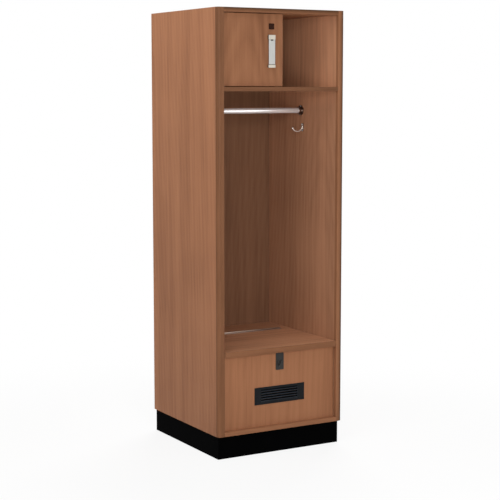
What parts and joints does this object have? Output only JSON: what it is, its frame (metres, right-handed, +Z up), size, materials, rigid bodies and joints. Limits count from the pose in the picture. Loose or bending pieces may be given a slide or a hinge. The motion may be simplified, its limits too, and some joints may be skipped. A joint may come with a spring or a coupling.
{
  "type": "mudroom locker unit",
  "caption": "Open-front wooden locker on a plinth with a small locking door, hanging rod, coat hook and lift-up seat over a vented foot locker.",
  "frame": {"origin": "on the floor, in the middle of the width and depth", "axes": "+Z up, the open front faces -Y, +X to the right seen from the front"},
  "size_m": [0.635, 0.625, 1.931],
  "materials": {
    "panel_wood": "satin cherry-coloured wood laminate",
    "edge_wood": "satin, darker stained edge",
    "bare_wood": "bare sanded wood",
    "plinth_black": "matte black painted",
    "screw_steel": "zinc plated",
    "hinge_steel": "nickel plated",
    "rod_chrome": "polished chrome",
    "pull_satin": "satin",
    "lock_black": "black, semi-matte",
    "latch_grey": "dark grey, semi-matte",
    "vent_black": "moulded, matte",
    "bush_nylon": "moulded",
    "bumper_rubber": "matte"
  },
  "bodies": {
    "carcass": {"left_side_panel": "panel_wood", "right_side_panel": "panel_wood", "left_lipping": "edge_wood", "right_lipping": "edge_wood", "top_panel": "panel_wood", "top_edge_band": "edge_wood", "shelf": "panel_wood", "shelf_edge_band": "edge_wood", "bottom_panel": "panel_wood", "bottom_edge_band": "edge_wood", "divider": "panel_wood", "back_panel": "panel_wood", "upper_back_rail": "bare_wood", "lower_back_rail": "bare_wood", "carcass_dowels": "bare_wood", "back_screws": "screw_steel", "plinth_front": "plinth_black", "plinth_back": "plinth_black", "plinth_left": "plinth_black", "plinth_right": "plinth_black", "plinth_screws": "screw_steel", "footlocker_front": "panel_wood", "left_upright_cleat": "bare_wood", "right_upright_cleat": "bare_wood", "left_seat_cleat": "bare_wood", "right_seat_cleat": "bare_wood", "rear_seat_cleat": "bare_wood", "rear_seat_strip": "panel_wood", "cleat_screws": "screw_steel", "vent_grille": "vent_black", "hanging_rod": "rod_chrome", "rod_flanges": "rod_chrome", "coat_hook": "rod_chrome", "hinge_fixed_leaf": "hinge_steel", "hinge_pin": "hinge_steel", "latch_plate": "latch_grey", "latch_nut": "hinge_steel", "lock_strike": "hinge_steel", "door_bushes": "bush_nylon", "door_bumpers": "bumper_rubber", "hardware_screws": "screw_steel"},
    "seat": {"seat_lid": "panel_wood", "seat_edge_band": "edge_wood", "hinge_moving_leaf": "hinge_steel", "seat_strike": "hinge_steel", "seat_screws": "screw_steel"},
    "door": {"security_door": "panel_wood", "door_pins": "hinge_steel", "door_pull": "pull_satin", "pull_screws": "screw_steel", "lock_body": "lock_black", "lock_nut": "hinge_steel"},
    "lock_core": {"lock_cylinder": "lock_black", "lock_cam": "hinge_steel", "lock_cam_screw": "screw_steel"},
    "latch_core": {"latch_knob": "latch_grey", "latch_cam": "hinge_steel", "latch_cam_screw": "screw_steel"}
  },
  "joints": [
    {"name": "seat_hinge", "type": "hinge", "parent": "carcass", "child": "seat", "pos_m": [0, 0.0925, 0.4735], "axis": [-1, 0, 0], "range_deg": [0, 117]},
    {"name": "door_hinge", "type": "hinge", "parent": "carcass", "child": "door", "pos_m": [-0.2745, -0.2875, 1.7565], "axis": [0, 0, -1], "range_deg": [0, 95]},
    {"name": "lock_turn", "type": "hinge", "parent": "door", "child": "lock_core", "pos_m": [-0.045, -0.2935, 1.856], "axis": [0, 1, 0], "range_deg": [0, 90]},
    {"name": "latch_turn", "type": "hinge", "parent": "carcass", "child": "latch_core", "pos_m": [0, -0.2935, 0.396], "axis": [0, 1, 0], "range_deg": [0, 90]}
  ]
}
